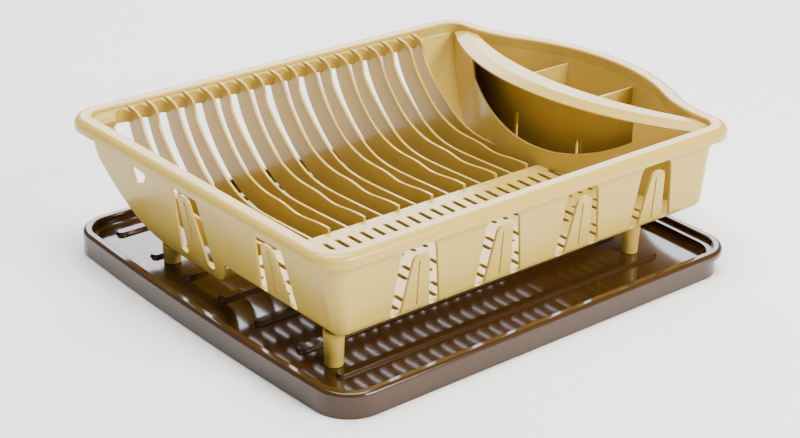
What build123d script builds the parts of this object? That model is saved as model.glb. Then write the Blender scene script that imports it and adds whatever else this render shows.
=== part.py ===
from build123d import *
import math
import os

os.makedirs("parts", exist_ok=True)

# Axes: X along the long front, Y from front to back, Z up from the tray's foot.

# Rim of the rack
RIM_TOP = 125.0
RIM_SKIRT = 11.0
RIM_BAND = 16.0
RIM_SHEET = 2.4
RIM_ROUND = 7.0
RIM_INNER_ROUND = 2.0
LEFT_X = -208.0
RIGHT_X = 265.0
FRONT_Y = -166.0
BACK_Y = 230.0
CORNER_R = 30.0
BOW_DEPTH = 45.0
BOW_END_R = 120.0
BOW_HALF_CHORD = (BACK_Y - FRONT_Y) / 2 - CORNER_R
BOW_ANGLE = 2 * math.degrees(math.atan(BOW_DEPTH / BOW_HALF_CHORD))
BOW_R = BOW_HALF_CHORD / math.sin(math.radians(BOW_ANGLE)) - BOW_END_R

# Walls of the rack
SHEET = 2.4
WALL_TOP_Z = RIM_TOP - RIM_SKIRT
WALL_LOW_Z = 42.0
WALL_TOP_INSET = 13.6
WALL_LOW_INSET = 19.0
WALL_LOW_ROUND = 9.0
LEFT_LEAN = 9.0
FLOOR_TOP = WALL_LOW_Z + SHEET

# Underside of the rack behind the floor strip, in section from front to back
DEEP_Z = 26.5
DEEP_FRONT_Y = 14.0
DEEP_ROUND = WALL_LOW_Z - DEEP_Z
DEEP_FLAT_Y = 72.0
RACK_BACK = [(95, 26.9), (120, 29.2), (150, 38.0), (181, 61.0), (205, 92.0)]
RACK_BACK_TOP_Y = 213.5
SLOPE_SHARE = 0.75

# Plate ribs: upper edges from the rim to the floor strip
RIB_COUNT = 18
RIB_PITCH = 20.0
RIB_FIRST_X = -148.0
RIB_SHEET = 2.6
LAST_RIB_X = RIB_FIRST_X + RIB_PITCH * (RIB_COUNT - 1)
LEFT_PANEL_X = -166.0
TALL_RIB = [
    (216, 122.6), (203.5, 121.8), (193, 117.5), (187, 108.0), (177, 92.0), (166, 79.5),
    (150, 65.5), (131, 55.5), (108, 50.2), (80, 48.6), (66, 46.2), (40, 47.4), (DEEP_FRONT_Y, 48.6),
]
LOW_RIB = [
    (216, 122.6), (203, 121.5), (196, 117.0), (194, 109.0), (186, 94.0), (167, 75.0),
    (145, 58.0), (124, 47.6), (103, 43.4), (75, 42.8), (40, 43.6), (DEEP_FRONT_Y, 44.4),
]

# Rounded band under the back rim, in section
BAND = [
    (216.4, 122.6), (216.4, 109.0), (213.4, 107.5), (207.0, 108.5), (204.4, 114.2),
    (207.0, 117.8), (211.0, 120.6),
]
FLUTE_Y = 203.4
FLUTE_R = 8.7
FLUTE_LENGTH = 40.0

# Slotted strip in the floor
SLOT_COUNT = 27
SLOT_PITCH = 13.57
SLOT_FIRST_X = -167.1
SLOT_WIDTH = 4.6
SLOT_LENGTH = 23.0
SLOT_ROWS_Y = [-12.5, -50.0, -87.5, -125.0]

# Mug arches and the hooks standing in them
FRONT_ARCH_X = [-104.5, -14.0, 79.0, 171.0]
LEFT_ARCH = [(-66.0, 46.0), (56.0, 34.0)]
ARCH_LOW_Z = 45.5
ARCH_TOP_Z = 107.5
ARCH_HALF_TOP = 18.0
ARCH_HALF_LOW = 26.5
ARCH_ROUND = 11.0
HOOK_TOP_Z = 97.0
HOOK_HALF_TOP = 8.0
HOOK_HALF_LOW = 15.0
HOOK_SHIFT_TOP = 4.0
HOOK_ROUND = 6.5
GAP_FOOT_ROUND = 4.5
HOOK_RIB_WIDTH = 1.6
HOOK_RIB_PROUD = 0.9
HOOK_RIB_MARGIN = 6.0

# Port in the left wall, in side view
LEFT_PORT = [(142, 99), (116, 97), (125, 86), (139, 80)]
PORT_ROUND = 3.0

# Legs
LEG_X = [-172.0, 169.0]
LEG_Y = [-128.0, 109.0]
LEG_TOP_R = 9.0
LEG_FOOT_R = 7.8
LEG_SHEET = 2.4

# Cutlery bay: each arc is its middle X, its end X and half its chord along Y
BAY_X = 196.0
BAY_MID_Y = 27.0
PLATE_ARC = (186.0, 257.0, 194.0)
CUP_ARC = (219.0, 275.5, 190.0)
BRIDGE_LOW = 114.0
BRIDGE_TOP = 120.0
BRIDGE_ROUND = 3.0
BRIDGE_SLOPE = 12.0
BRIDGE_DROP = 4.5
WINDOW_FRONT_Y = -86.0
WINDOW_BACK_Y = 128.0
WINDOW_END_Z = 95.0
WINDOW_LOW_Z = 61.5
WINDOW_LEAN = 6.0
DRAIN_TOP = 70.0
DRAIN_WIDTH = 8.0
DIVIDER_Y = [80.5, -7.5]
DIVIDER_TOP = 108.0

# Drip tray
TRAY_LEFT_X = -215.0
TRAY_RIGHT_X = 230.0
TRAY_FRONT_Y = -196.0
TRAY_BACK_Y = 214.0
TRAY_LIP_X = 238.0
TRAY_LIP = 6.5
TRAY_BOW = 6.0
TRAY_CORNER_R = 34.0
TRAY_TOP = 22.0
TRAY_FLOOR = 11.0
TRAY_RIM = 9.0
TRAY_SHEET = 2.6
TRAY_RIM_ROUND = 3.6
TRAY_INNER_ROUND = 2.0
TRAY_FLOOR_ROUND = 4.0
BEAD_Y = [185.0, 126.0, 73.0, 19.0, -35.0, -94.0, -147.0]
BEAD_LEFT_X = -184.0
BEAD_RIGHT_X = 183.0
BEAD_HALF_WIDTH = 5.5
BEAD_HEIGHT = 3.0
BEAD_TAPER = 25.0
STAND_GAP = 0.3
LEG_FOOT_Z = TRAY_FLOOR + STAND_GAP

FAR = 400.0
FRONT_CUT = FRONT_Y + CORNER_R
BACK_CUT = BACK_Y - CORNER_R
ALL = (-FAR, FAR)
UP = (0.0, FAR)


def export(part, name):
    part.label = name
    export_step(part, f"parts/{name}.step")


def rack_outline(inset, lean=0.0):
    """Plan outline of the rack, moved inward by the inset and, on the left, by the lean."""
    left_x = LEFT_X + lean
    with BuildSketch() as sketch:
        with BuildLine():
            Line((left_x + CORNER_R, FRONT_Y), (RIGHT_X - CORNER_R, FRONT_Y))
            JernArc((RIGHT_X - CORNER_R, FRONT_Y), (1, 0), CORNER_R, 90)
            sweep_in = JernArc((RIGHT_X, FRONT_Y + CORNER_R), (0, 1), BOW_END_R, -BOW_ANGLE)
            bow = JernArc(sweep_in @ 1, sweep_in % 1, BOW_R, 2 * BOW_ANGLE)
            JernArc(bow @ 1, bow % 1, BOW_END_R, -BOW_ANGLE)
            JernArc((RIGHT_X, BACK_Y - CORNER_R), (0, 1), CORNER_R, 90)
            Line((RIGHT_X - CORNER_R, BACK_Y), (left_x + CORNER_R, BACK_Y))
            JernArc((left_x + CORNER_R, BACK_Y), (-1, 0), CORNER_R, 90)
            Line((left_x, BACK_Y - CORNER_R), (left_x, FRONT_Y + CORNER_R))
            JernArc((left_x, FRONT_Y + CORNER_R), (0, -1), CORNER_R, 90)
        make_face()
        if inset > 0:
            offset(amount=-inset, mode=Mode.REPLACE)
    return sketch.sketch


def slab(outline, low, high):
    """Upright slab over one outline."""
    with BuildPart() as body:
        with BuildSketch(Plane.XY.offset(low)):
            add(outline)
        extrude(amount=high - low)
    return body.part


def tub(inward, low, high):
    """Tapered block within the walls, moved inward from their outer faces."""
    with BuildPart() as body:
        for z in (low, high):
            share = (WALL_TOP_Z - z) / (WALL_TOP_Z - WALL_LOW_Z)
            inset = WALL_TOP_INSET + share * (WALL_LOW_INSET - WALL_TOP_INSET)
            with BuildSketch(Plane.XY.offset(z)):
                add(rack_outline(inset + inward, share * LEFT_LEAN))
        loft(ruled=True)
    return body.part


def rounded_tub(inward, low, radius):
    """Block within the walls whose bottom edge is rounded."""
    with BuildPart() as body:
        add(tub(inward, low, WALL_TOP_Z))
        fillet(body.faces().sort_by(Axis.Z)[0].edges(), radius)
    return body.part


def piece_in_box(source, x_range, y_range, z_range):
    """The share of a body that lies inside a box."""
    with BuildPart() as body:
        add(source)
        with Locations((
            (x_range[0] + x_range[1]) / 2,
            (y_range[0] + y_range[1]) / 2,
            (z_range[0] + z_range[1]) / 2,
        )):
            Box(
                x_range[1] - x_range[0],
                y_range[1] - y_range[0],
                z_range[1] - z_range[0],
                mode=Mode.INTERSECT,
            )
    return body.part


def underside_line(inward):
    """Draw the rack's underside behind the strip, moved inward, and return its back end."""
    mid_y = DEEP_FRONT_Y + DEEP_ROUND
    low_z = DEEP_Z + inward
    move = SLOPE_SHARE * inward
    CenterArc((mid_y, WALL_LOW_Z), DEEP_ROUND - inward, 180, 90)
    Line((mid_y, low_z), (DEEP_FLAT_Y, low_z))
    end = (RACK_BACK_TOP_Y - inward, WALL_TOP_Z)
    Spline((DEEP_FLAT_Y, low_z), *[(y - move, z + move) for y, z in RACK_BACK], end)
    return end


def rib(x, upper):
    """One upright rib between its upper edge and the rack's underside."""
    with BuildPart() as body:
        with BuildSketch(Plane.YZ.offset(x - RIB_SHEET / 2)):
            with BuildLine():
                end = underside_line(0.0)
                Line(end, upper[0])
                Spline(*upper)
                Line(upper[-1], (DEEP_FRONT_Y, WALL_LOW_Z))
            make_face()
        extrude(amount=RIB_SHEET)
    return body.part


def below_rack():
    """Everything below and behind the rack."""
    with BuildPart() as body:
        with BuildSketch(Plane.YZ.offset(-FAR)):
            with BuildLine():
                end = underside_line(0.0)
                Polyline(
                    end, (FAR, WALL_TOP_Z), (FAR, -SHEET), (-FAR, -SHEET), (-FAR, WALL_LOW_Z),
                    (DEEP_FRONT_Y, WALL_LOW_Z),
                )
            make_face()
        extrude(amount=2 * FAR)
    return body.part


def sloping_panel(x_low, x_high):
    """Solid sheet along the rack's underside and sloping back."""
    with BuildPart() as body:
        with BuildSketch(Plane.YZ.offset(x_low)):
            with BuildLine():
                outer_end = underside_line(0.0)
                inner_end = underside_line(SHEET)
                Line(outer_end, inner_end)
                Line((DEEP_FRONT_Y, WALL_LOW_Z), (DEEP_FRONT_Y + SHEET, WALL_LOW_Z))
            make_face()
        extrude(amount=x_high - x_low)
    return body.part


# Rim: an outward roll with a skirt, hollow from below
with BuildPart() as rim:
    add(slab(rack_outline(0), WALL_TOP_Z, RIM_TOP))
    fillet(rim.faces().sort_by(Axis.Z)[-1].edges(), RIM_ROUND)
    add(slab(rack_outline(RIM_BAND), WALL_TOP_Z, RIM_TOP), mode=Mode.SUBTRACT)
    fillet(rim.faces().sort_by(Axis.Z)[-1].inner_wires()[0].edges(), RIM_INNER_ROUND)
with BuildPart() as rim_hollow:
    add(slab(rack_outline(RIM_SHEET), WALL_TOP_Z, RIM_TOP - RIM_SHEET))
    fillet(rim_hollow.faces().sort_by(Axis.Z)[-1].edges(), RIM_ROUND - RIM_SHEET)
    add(slab(rack_outline(WALL_TOP_INSET), WALL_TOP_Z, RIM_TOP), mode=Mode.SUBTRACT)
with BuildPart() as rim_shell:
    add(rim.part)
    add(rim_hollow.part, mode=Mode.SUBTRACT)

export(piece_in_box(rim_shell.part, ALL, (-FAR, FRONT_CUT), UP), "rim_front")
export(piece_in_box(rim_shell.part, ALL, (BACK_CUT, FAR), UP), "rim_back")
export(piece_in_box(rim_shell.part, (-FAR, 0), (FRONT_CUT, BACK_CUT), UP), "rim_left")
export(piece_in_box(rim_shell.part, (0, FAR), (FRONT_CUT, BACK_CUT), UP), "rim_right")

# Walls: a tapered shell with a rounded foot in front and open below behind the strip
under = below_rack()
inner_tub = rounded_tub(SHEET, FLOOR_TOP, WALL_LOW_ROUND - SHEET)
deep_inner_tub = tub(SHEET, DEEP_Z - 1, WALL_TOP_Z)
with BuildPart() as front_tub:
    add(rounded_tub(0.0, WALL_LOW_Z, WALL_LOW_ROUND))
    add(inner_tub, mode=Mode.SUBTRACT)
floor_outline = rack_outline(WALL_LOW_INSET + WALL_LOW_ROUND, LEFT_LEAN)
floor_column = slab(floor_outline, 0, FLOOR_TOP + 1)
with BuildPart() as floor:
    add(piece_in_box(front_tub.part, ALL, (-FAR, DEEP_FRONT_Y), UP))
    add(floor_column, mode=Mode.INTERSECT)
with BuildPart() as deep_walls:
    add(tub(0.0, DEEP_Z - 1, WALL_TOP_Z))
    add(deep_inner_tub, mode=Mode.SUBTRACT)
    add(under, mode=Mode.SUBTRACT)
with BuildPart() as wall_shell:
    add(piece_in_box(front_tub.part, ALL, (-FAR, DEEP_FRONT_Y), UP))
    add(floor_column, mode=Mode.SUBTRACT)
    add(piece_in_box(deep_walls.part, ALL, (DEEP_FRONT_Y, FAR), UP))


def hook_outline(mid, low):
    """Rounded upright figure of one hook, its top set a little to one side."""
    top_mid = mid + HOOK_SHIFT_TOP
    with BuildSketch() as sketch:
        with BuildLine():
            Polyline(
                (mid - HOOK_HALF_LOW, low), (top_mid - HOOK_HALF_TOP, HOOK_TOP_Z),
                (top_mid + HOOK_HALF_TOP, HOOK_TOP_Z), (mid + HOOK_HALF_LOW, low), close=True,
            )
        make_face()
        fillet(sketch.vertices().group_by(Axis.Y)[-1], HOOK_ROUND)
    return sketch.sketch


def arch_outline(mid, low):
    """Open figure of one arch around its hook, with rounded feet."""
    with BuildSketch() as sketch:
        with BuildLine():
            Polyline(
                (mid - ARCH_HALF_LOW, low), (mid - ARCH_HALF_TOP, ARCH_TOP_Z),
                (mid + ARCH_HALF_TOP, ARCH_TOP_Z), (mid + ARCH_HALF_LOW, low), close=True,
            )
        make_face()
        fillet(sketch.vertices().group_by(Axis.Y)[-1], ARCH_ROUND)
        add(hook_outline(mid, low), mode=Mode.SUBTRACT)
        fillet(sketch.vertices().group_by(Axis.Y)[0], GAP_FOOT_ROUND)
    return sketch.sketch


def through_block(figure, plane):
    """The figure carried outward from the middle of the rack."""
    with BuildPart() as body:
        with BuildSketch(plane):
            add(figure)
        extrude(amount=FAR)
    return body.part


FRONT_PLANE = Plane(origin=(0, 0, 0), x_dir=(1, 0, 0), z_dir=(0, -1, 0))
LEFT_PLANE = Plane(origin=(-FAR, 0, 0), x_dir=(0, 1, 0), z_dir=(1, 0, 0))

front_full = piece_in_box(wall_shell.part, ALL, (-FAR, FRONT_CUT), UP)
left_full = piece_in_box(wall_shell.part, (-FAR, 0), (FRONT_CUT, FAR), UP)
export(piece_in_box(wall_shell.part, (0, FAR), (FRONT_CUT, FAR), UP), "right_wall")

front_figures = [(mid, ARCH_LOW_Z, FRONT_PLANE) for mid in FRONT_ARCH_X]
left_figures = [(mid, low, LEFT_PLANE) for mid, low in LEFT_ARCH]


def wall_with_arches(source, figures):
    """A wall opened at its arches, without the hooks."""
    with BuildPart() as body:
        add(source)
        for mid, low, plane in figures:
            add(through_block(arch_outline(mid, low), plane), mode=Mode.SUBTRACT)
            add(through_block(hook_outline(mid, low), plane), mode=Mode.SUBTRACT)
    return body.part


def hook(source, mid, low, plane):
    """The share of a wall that stands as one hook, with a fine rib down its face."""
    rib_mid = mid + HOOK_SHIFT_TOP / 2
    rib_box = (rib_mid - HOOK_RIB_WIDTH / 2, rib_mid + HOOK_RIB_WIDTH / 2)
    z_range = (low + HOOK_RIB_MARGIN, HOOK_TOP_Z - HOOK_RIB_MARGIN)
    x_range, y_range = (rib_box, (-FAR, 0)) if plane is FRONT_PLANE else ((-FAR, 0), rib_box)
    with BuildPart() as body:
        add(source)
        add(through_block(hook_outline(mid, low), plane), mode=Mode.INTERSECT)
        add(piece_in_box(proud_skin, x_range, y_range, z_range))
    return body.part


with BuildPart() as skin:
    add(tub(-HOOK_RIB_PROUD, WALL_LOW_Z, WALL_TOP_Z))
    add(tub(0.0, WALL_LOW_Z, WALL_TOP_Z), mode=Mode.SUBTRACT)
proud_skin = skin.part

export(wall_with_arches(front_full, front_figures), "front_wall")
for number, figure in enumerate(front_figures, start=1):
    export(hook(front_full, *figure), f"front_hook_{number}")

with BuildPart() as port:
    with BuildSketch(LEFT_PLANE) as port_sketch:
        Polygon(*LEFT_PORT, align=None)
        fillet(port_sketch.vertices(), PORT_ROUND)
    extrude(amount=FAR)
with BuildPart() as left_wall:
    add(wall_with_arches(left_full, left_figures))
    add(port.part, mode=Mode.SUBTRACT)
export(left_wall.part, "left_wall")
for number, figure in enumerate(left_figures, start=1):
    export(hook(left_full, *figure), f"left_hook_{number}")

# Floor: slotted strip on the left, plain floor up to the right end
with BuildPart() as strip:
    add(piece_in_box(floor.part, (-FAR, BAY_X), ALL, UP))
    for index in range(SLOT_COUNT):
        x = SLOT_FIRST_X + SLOT_PITCH * index
        with BuildSketch(Plane.XY.offset(WALL_LOW_Z - SHEET)):
            with Locations(*[(x, y) for y in SLOT_ROWS_Y]):
                SlotOverall(SLOT_LENGTH, SLOT_WIDTH, rotation=90)
        extrude(amount=3 * SHEET, mode=Mode.SUBTRACT)
export(strip.part, "drain_strip")
export(piece_in_box(floor.part, (BAY_X, FAR), ALL, UP), "end_floor")

# Rounded band under the rim that carries the upper ends of the ribs
with BuildPart() as band:
    with BuildSketch(Plane.YZ.offset(-FAR)):
        Polygon(*BAND, align=None)
    extrude(amount=FAR + LAST_RIB_X)
    flutes_x = [RIB_FIRST_X + RIB_PITCH * (index - 0.5) for index in range(RIB_COUNT)]
    with Locations(*[(x, FLUTE_Y, WALL_TOP_Z) for x in flutes_x]):
        Cylinder(FLUTE_R, FLUTE_LENGTH, mode=Mode.SUBTRACT)
    add(slab(rack_outline(RIM_BAND), DEEP_Z, RIM_TOP), mode=Mode.INTERSECT)
    add(rim_shell.part, mode=Mode.SUBTRACT)
    add(wall_shell.part, mode=Mode.SUBTRACT)
export(band.part, "rib_header")

for index in range(RIB_COUNT):
    with BuildPart() as plate_rib:
        add(rib(RIB_FIRST_X + RIB_PITCH * index, LOW_RIB if index % 2 else TALL_RIB))
        add(rim_shell.part, mode=Mode.SUBTRACT)
        add(band.part, mode=Mode.SUBTRACT)
    export(plate_rib.part, f"plate_rib_{index + 1:02d}")
last_rib = plate_rib.part

# Closed sloping back beside the first and the last rib
panels = {}
for name, x_low, x_high in (
    ("left_panel", -FAR, LEFT_PANEL_X),
    ("end_panel", LAST_RIB_X + RIB_SHEET / 2, FAR),
):
    with BuildPart() as panel:
        add(sloping_panel(x_low, x_high))
        add(deep_inner_tub, mode=Mode.INTERSECT)
        add(band.part, mode=Mode.SUBTRACT)
    panels[name] = panel.part
    export(panel.part, name)

# Legs
with BuildPart() as leg:
    with BuildSketch(Plane.XY.offset(LEG_FOOT_Z)):
        Circle(LEG_FOOT_R)
    with BuildSketch(Plane.XY.offset(WALL_LOW_Z)):
        Circle(LEG_TOP_R)
    loft()
    with BuildSketch(Plane.XY.offset(LEG_FOOT_Z + LEG_SHEET)):
        Circle(LEG_FOOT_R - LEG_SHEET)
    with BuildSketch(Plane.XY.offset(WALL_LOW_Z)):
        Circle(LEG_TOP_R - LEG_SHEET)
    loft(mode=Mode.SUBTRACT)
for number, (x, y) in enumerate([(x, y) for y in LEG_Y for x in LEG_X], start=1):
    with BuildPart() as placed:
        with Locations((x, y, 0)):
            add(leg.part)
        add(under, mode=Mode.INTERSECT)
    export(placed.part, f"leg_{number}")


# Cutlery bay
def arc_region(near, far, low, high):
    """Upright body between two arcs that bow toward the plates."""
    ends = []
    with BuildPart() as body:
        with BuildSketch(Plane.XY.offset(low)):
            with BuildLine():
                for mid_x, end_x, half in (near, far):
                    ends.append(((end_x, BAY_MID_Y - half), (end_x, BAY_MID_Y + half)))
                    ThreePointArc(ends[-1][0], (mid_x, BAY_MID_Y), ends[-1][1])
                Line(ends[0][0], ends[1][0])
                Line(ends[0][1], ends[1][1])
            make_face()
        extrude(amount=high - low)
    return body.part


def moved_arc(arc, shift):
    return (arc[0] + shift, arc[1] + shift, arc[2])


def bay_part(source):
    """A body of the bay, trimmed to the walls, the floor and the sloping back."""
    with BuildPart() as body:
        add(source)
        add(bay_space, mode=Mode.INTERSECT)
    return body.part


with BuildPart() as bridge:
    add(arc_region(PLATE_ARC, CUP_ARC, BRIDGE_LOW, BRIDGE_TOP))
    top = bridge.faces().sort_by(Axis.Z)[-1]
    fillet(top.edges().filter_by(GeomType.CIRCLE).sort_by(Axis.X)[-1], BRIDGE_ROUND)
    top = bridge.faces().sort_by(Axis.Z)[-1]
    near_edge = top.edges().filter_by(GeomType.CIRCLE).sort_by(Axis.X)[0]
    chamfer(near_edge, BRIDGE_SLOPE, BRIDGE_DROP, reference=top)
    add(slab(rack_outline(RIM_BAND), WALL_TOP_Z, RIM_TOP), mode=Mode.INTERSECT)
export(bridge.part, "bridge")

with BuildPart() as bay_room:
    add(piece_in_box(inner_tub, (0, FAR), (-FAR, DEEP_FRONT_Y), UP))
    with BuildPart(mode=Mode.PRIVATE) as deep_room:
        add(piece_in_box(deep_inner_tub, (0, FAR), (DEEP_FRONT_Y, FAR), UP))
        add(under, mode=Mode.SUBTRACT)
        add(panels["end_panel"], mode=Mode.SUBTRACT)
        add(last_rib, mode=Mode.SUBTRACT)
    add(deep_room.part)
bay_space = bay_room.part

with BuildPart() as window:
    with BuildSketch(Plane.YZ.offset(LAST_RIB_X - RIB_PITCH)):
        with BuildLine():
            ThreePointArc(
                (WINDOW_FRONT_Y, WINDOW_END_Z),
                ((WINDOW_FRONT_Y + WINDOW_BACK_Y) / 2, WINDOW_LOW_Z),
                (WINDOW_BACK_Y, WINDOW_END_Z),
            )
            Polyline(
                (WINDOW_BACK_Y, WINDOW_END_Z), (WINDOW_BACK_Y + WINDOW_LEAN, BRIDGE_LOW),
                (WINDOW_FRONT_Y, BRIDGE_LOW), (WINDOW_FRONT_Y, WINDOW_END_Z),
            )
        make_face()
    extrude(amount=FAR)

with BuildPart() as plate_side:
    add(arc_region(PLATE_ARC, moved_arc(PLATE_ARC, SHEET), DEEP_Z, BRIDGE_LOW))
    add(window.part, mode=Mode.SUBTRACT)
export(bay_part(plate_side.part), "bay_wall")

with BuildPart() as cup_side:
    add(arc_region(moved_arc(CUP_ARC, -SHEET), CUP_ARC, DEEP_Z, BRIDGE_LOW))
    for y in DIVIDER_Y:
        with Locations((CUP_ARC[0], y, DRAIN_TOP / 2)):
            Box(FAR, DRAIN_WIDTH, DRAIN_TOP, mode=Mode.SUBTRACT)
export(bay_part(cup_side.part), "cutlery_wall")

cup_space = arc_region(CUP_ARC, moved_arc(CUP_ARC, FAR), DEEP_Z, DIVIDER_TOP)
for number, y in enumerate(DIVIDER_Y, start=1):
    with BuildPart() as divider:
        with Locations((0, y, 0)):
            Box(2 * FAR, SHEET, 2 * FAR)
        add(cup_space, mode=Mode.INTERSECT)
    export(bay_part(divider.part), f"cutlery_divider_{number}")


# Drip tray: a raised floor with a rounded rim, hollow from below, and a lip at the right end
def tray_outline(inset, right_x=TRAY_RIGHT_X):
    """Plan outline of the tray with both ends bowed, moved inward by the inset."""
    mid_y = (TRAY_FRONT_Y + TRAY_BACK_Y) / 2
    corners = [(right_x, TRAY_FRONT_Y), (right_x, TRAY_BACK_Y)]
    corners += [(TRAY_LEFT_X, TRAY_BACK_Y), (TRAY_LEFT_X, TRAY_FRONT_Y)]
    with BuildSketch() as sketch:
        with BuildLine():
            ThreePointArc(corners[0], (right_x + TRAY_BOW, mid_y), corners[1])
            Line(corners[1], corners[2])
            ThreePointArc(corners[2], (TRAY_LEFT_X - TRAY_BOW, mid_y), corners[3])
            Line(corners[3], corners[0])
        make_face()
        fillet(sketch.vertices(), TRAY_CORNER_R)
        if inset > 0:
            offset(amount=-inset, mode=Mode.REPLACE)
    return sketch.sketch


LIP_LOW_Z = TRAY_TOP - TRAY_LIP
with BuildPart() as basin:
    add(slab(tray_outline(TRAY_RIM), TRAY_FLOOR, TRAY_TOP + 1))
    fillet(basin.faces().sort_by(Axis.Z)[0].edges(), TRAY_FLOOR_ROUND)
    add(slab(tray_outline(TRAY_RIM, TRAY_LIP_X), LIP_LOW_Z + TRAY_SHEET, TRAY_TOP + 1))
with BuildPart() as rim_cavity:
    add(slab(tray_outline(TRAY_SHEET), 0, LIP_LOW_Z))
    add(slab(tray_outline(TRAY_RIM - TRAY_SHEET), 0, TRAY_TOP), mode=Mode.SUBTRACT)
with BuildPart() as tray:
    add(slab(tray_outline(0), 0, TRAY_TOP))
    add(slab(tray_outline(0, TRAY_LIP_X), LIP_LOW_Z, TRAY_TOP))
    fillet(tray.faces().sort_by(Axis.Z)[-1].edges(), TRAY_RIM_ROUND)
    add(basin.part, mode=Mode.SUBTRACT)
    fillet(tray.faces().sort_by(Axis.Z)[-1].inner_wires()[0].edges(), TRAY_INNER_ROUND)
    add(slab(tray_outline(TRAY_SHEET), 0, TRAY_FLOOR - TRAY_SHEET), mode=Mode.SUBTRACT)
    add(rim_cavity.part, mode=Mode.SUBTRACT)
    for y in BEAD_Y:
        with BuildSketch(Plane.XY.offset(TRAY_FLOOR)):
            with Locations(((BEAD_LEFT_X + BEAD_RIGHT_X) / 2, y)):
                SlotOverall(BEAD_RIGHT_X - BEAD_LEFT_X, 2 * BEAD_HALF_WIDTH)
        extrude(amount=BEAD_HEIGHT, taper=BEAD_TAPER)
export(tray.part, "drip_tray")
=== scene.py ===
import bpy
from mathutils import Matrix, Vector

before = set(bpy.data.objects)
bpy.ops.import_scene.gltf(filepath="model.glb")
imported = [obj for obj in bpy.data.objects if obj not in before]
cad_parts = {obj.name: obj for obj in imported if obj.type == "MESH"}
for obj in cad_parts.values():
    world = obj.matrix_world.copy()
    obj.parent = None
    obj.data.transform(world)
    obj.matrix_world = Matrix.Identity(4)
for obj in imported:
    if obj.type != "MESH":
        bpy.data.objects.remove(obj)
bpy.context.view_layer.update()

# ---- camera, at the photograph's viewing angle -------------------------
CAMERA_AT = Vector((-0.9156, -1.0938, 0.7021))
CAMERA_RIGHT = Vector((0.770982, -0.636641, 0.016591))
CAMERA_UP = Vector((0.255248, 0.332766, 0.907808))
CAMERA_LENS = 78.26
CAMERA_SENSOR = 36.0
CAMERA_CLIP = (0.05, 50.0)

# ---- lights: name, place, size, power, colour --------------------------
LIGHT_TARGET = (0, 0, 0.05)
BACK_TARGET = (0.05, 0.05, 0.05)
LIGHTS = [
    ("key", (0.9, -2.6, 1.7), LIGHT_TARGET, (1.6, 1.2), 170, (1.0, 0.985, 0.95)),
    ("top", (0.2, 0.3, 3.0), LIGHT_TARGET, (2.0, 2.0), 185, (1.0, 1.0, 1.0)),
    ("back", (2.0, 2.6, 1.75), BACK_TARGET, (2.8, 1.5), 110, (0.95, 0.94, 1.0)),
]
WORLD_COLOUR = (1, 1, 1, 1)
WORLD_STRENGTH = 0.38

# ---- floor -------------------------------------------------------------
FLOOR_REACH = 6.0
FLOOR_DROP = 0.0004
FLOOR_TINT = (0.93, 0.96)
FLOOR_ROUGHNESS = 0.9

# ---- moulded plastic ---------------------------------------------------
DRIFT_NOISE = dict(Scale=9.0, Detail=3.0, Roughness=0.5)
SMEAR_NOISE = dict(Scale=38.0, Detail=4.0, Roughness=0.6)
RIPPLE_NOISE = dict(Scale=22.0, Detail=2.0, Roughness=0.4)
GRAIN_NOISE = dict(Scale=900.0, Detail=2.0, Roughness=0.5)
FIBRE_NOISE = dict(Scale=60.0, Detail=4.0, Roughness=0.6)
RIPPLE_DEPTH = 0.004
GRAIN_STRENGTH = 0.05
GRAIN_DEPTH = 0.0003
EDGE_ROUNDING = 0.0010
EDGE_SAMPLES = 6
PLASTIC_IOR = 1.46
PLASTIC_SPECULAR = 0.36
COAT_ROUGHNESS = 0.08
SCATTER_RADIUS = (0.9, 0.6, 0.25)
SCATTER_SCALE = 0.003


def make_camera():
    data = bpy.data.cameras.new("camera")
    data.lens = CAMERA_LENS
    data.sensor_width = CAMERA_SENSOR
    data.clip_start, data.clip_end = CAMERA_CLIP
    data.dof.use_dof = False
    camera = bpy.data.objects.new("camera", data)
    bpy.context.scene.collection.objects.link(camera)
    right = CAMERA_RIGHT.normalized()
    up = (CAMERA_UP - right * CAMERA_UP.dot(right)).normalized()
    back = right.cross(up)
    camera.matrix_world = Matrix((
        (right.x, up.x, back.x, CAMERA_AT.x),
        (right.y, up.y, back.y, CAMERA_AT.y),
        (right.z, up.z, back.z, CAMERA_AT.z),
        (0, 0, 0, 1),
    ))
    bpy.context.scene.camera = camera


def new_material(name):
    material = bpy.data.materials.new(name)
    material.use_nodes = True
    tree = material.node_tree
    tree.nodes.clear()
    out = tree.nodes.new("ShaderNodeOutputMaterial")
    shader = tree.nodes.new("ShaderNodeBsdfPrincipled")
    tree.links.new(shader.outputs["BSDF"], out.inputs["Surface"])
    return material, tree, shader


def node(tree, kind, **inputs):
    made = tree.nodes.new(kind)
    for key, value in inputs.items():
        made.inputs[key.replace("_", " ")].default_value = value
    return made


def noise(tree, coord, settings):
    """Noise in object space, in metres."""
    made = node(tree, "ShaderNodeTexNoise", **settings)
    tree.links.new(coord.outputs["Object"], made.inputs["Vector"])
    return made


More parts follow.
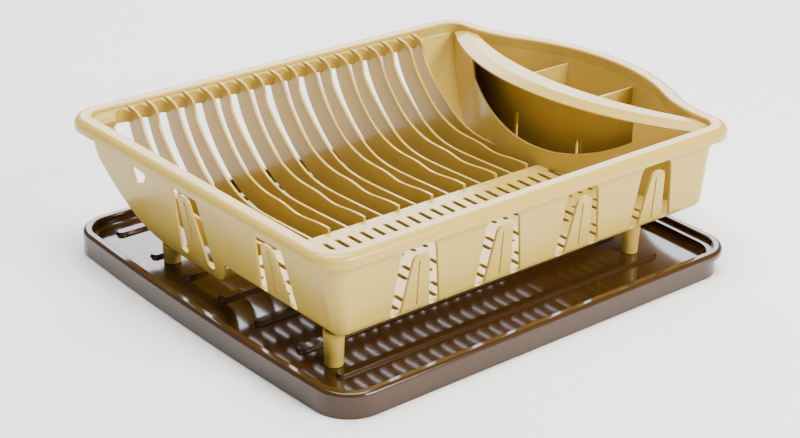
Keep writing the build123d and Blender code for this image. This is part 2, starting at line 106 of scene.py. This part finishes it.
def moulded_plastic(name, dark, light, rough_low, rough_high, coat, ripple, scatter=0.0):
    """Injection-moulded gloss plastic: soft colour drift, fine ripple, rounded edges."""
    material, tree, shader = new_material(name)
    link = tree.links.new
    coord = tree.nodes.new("ShaderNodeTexCoord")

    drift = noise(tree, coord, DRIFT_NOISE)
    colour = tree.nodes.new("ShaderNodeMix")
    colour.data_type = "RGBA"
    link(drift.outputs["Fac"], colour.inputs[0])
    colour.inputs[6].default_value = (*dark, 1)
    colour.inputs[7].default_value = (*light, 1)
    link(colour.outputs[2], shader.inputs["Base Color"])

    smear = noise(tree, coord, SMEAR_NOISE)
    rough = node(tree, "ShaderNodeMapRange", To_Min=rough_low, To_Max=rough_high)
    link(smear.outputs["Fac"], rough.inputs["Value"])
    link(rough.outputs["Result"], shader.inputs["Roughness"])

    wave = noise(tree, coord, RIPPLE_NOISE)
    grain = noise(tree, coord, GRAIN_NOISE)
    bevel = node(tree, "ShaderNodeBevel", Radius=EDGE_ROUNDING)
    bevel.samples = EDGE_SAMPLES
    low = node(tree, "ShaderNodeBump", Strength=ripple, Distance=RIPPLE_DEPTH)
    link(wave.outputs["Fac"], low.inputs["Height"])
    link(bevel.outputs["Normal"], low.inputs["Normal"])
    high = node(tree, "ShaderNodeBump", Strength=GRAIN_STRENGTH, Distance=GRAIN_DEPTH)
    link(grain.outputs["Fac"], high.inputs["Height"])
    link(low.outputs["Normal"], high.inputs["Normal"])
    link(high.outputs["Normal"], shader.inputs["Normal"])

    shader.inputs["IOR"].default_value = PLASTIC_IOR
    shader.inputs["Specular IOR Level"].default_value = PLASTIC_SPECULAR
    shader.inputs["Coat Weight"].default_value = coat
    shader.inputs["Coat Roughness"].default_value = COAT_ROUGHNESS
    if scatter:
        shader.inputs["Subsurface Weight"].default_value = scatter
        shader.inputs["Subsurface Radius"].default_value = SCATTER_RADIUS
        shader.inputs["Subsurface Scale"].default_value = SCATTER_SCALE
    return material


def make_floor():
    reach = FLOOR_REACH
    mesh = bpy.data.meshes.new("floor")
    mesh.from_pydata(
        [(-reach, -reach, 0), (reach, -reach, 0), (reach, reach, 0), (-reach, reach, 0)],
        [], [(0, 1, 2, 3)],
    )
    floor = bpy.data.objects.new("floor", mesh)
    bpy.context.scene.collection.objects.link(floor)
    floor.location.z = -FLOOR_DROP
    material, tree, shader = new_material("floor_paper")
    coord = tree.nodes.new("ShaderNodeTexCoord")
    fibre = noise(tree, coord, FIBRE_NOISE)
    tint = node(tree, "ShaderNodeMapRange", To_Min=FLOOR_TINT[0], To_Max=FLOOR_TINT[1])
    tree.links.new(fibre.outputs["Fac"], tint.inputs["Value"])
    tree.links.new(tint.outputs["Result"], shader.inputs["Base Color"])
    shader.inputs["Roughness"].default_value = FLOOR_ROUGHNESS
    mesh.materials.append(material)


def area_light(name, place, target, size, power, colour):
    data = bpy.data.lights.new(name, "AREA")
    data.shape = "RECTANGLE"
    data.size, data.size_y = size
    data.energy = power
    data.color = colour
    lamp = bpy.data.objects.new(name, data)
    bpy.context.scene.collection.objects.link(lamp)
    lamp.location = place
    lamp.rotation_mode = "QUATERNION"
    aim = Vector(target) - Vector(place)
    lamp.rotation_quaternion = aim.to_track_quat("-Z", "Y")


def make_world():
    world = bpy.data.worlds.new("studio")
    world.use_nodes = True
    background = world.node_tree.nodes["Background"]
    background.inputs["Color"].default_value = WORLD_COLOUR
    background.inputs["Strength"].default_value = WORLD_STRENGTH
    bpy.context.scene.world = world


make_camera()

cream = moulded_plastic(
    "cream_plastic", dark=(0.52, 0.355, 0.060), light=(0.58, 0.405, 0.082),
    rough_low=0.18, rough_high=0.30, coat=0.15, ripple=0.08, scatter=0.12,
)
brown = moulded_plastic(
    "brown_plastic", dark=(0.038, 0.0155, 0.0025), light=(0.050, 0.021, 0.004),
    rough_low=0.09, rough_high=0.17, coat=0.3, ripple=0.05,
)
for name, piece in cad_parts.items():
    piece.data.materials.clear()
    piece.data.materials.append(brown if name == "drip_tray" else cream)

make_floor()
for light in LIGHTS:
    area_light(*light)
make_world()
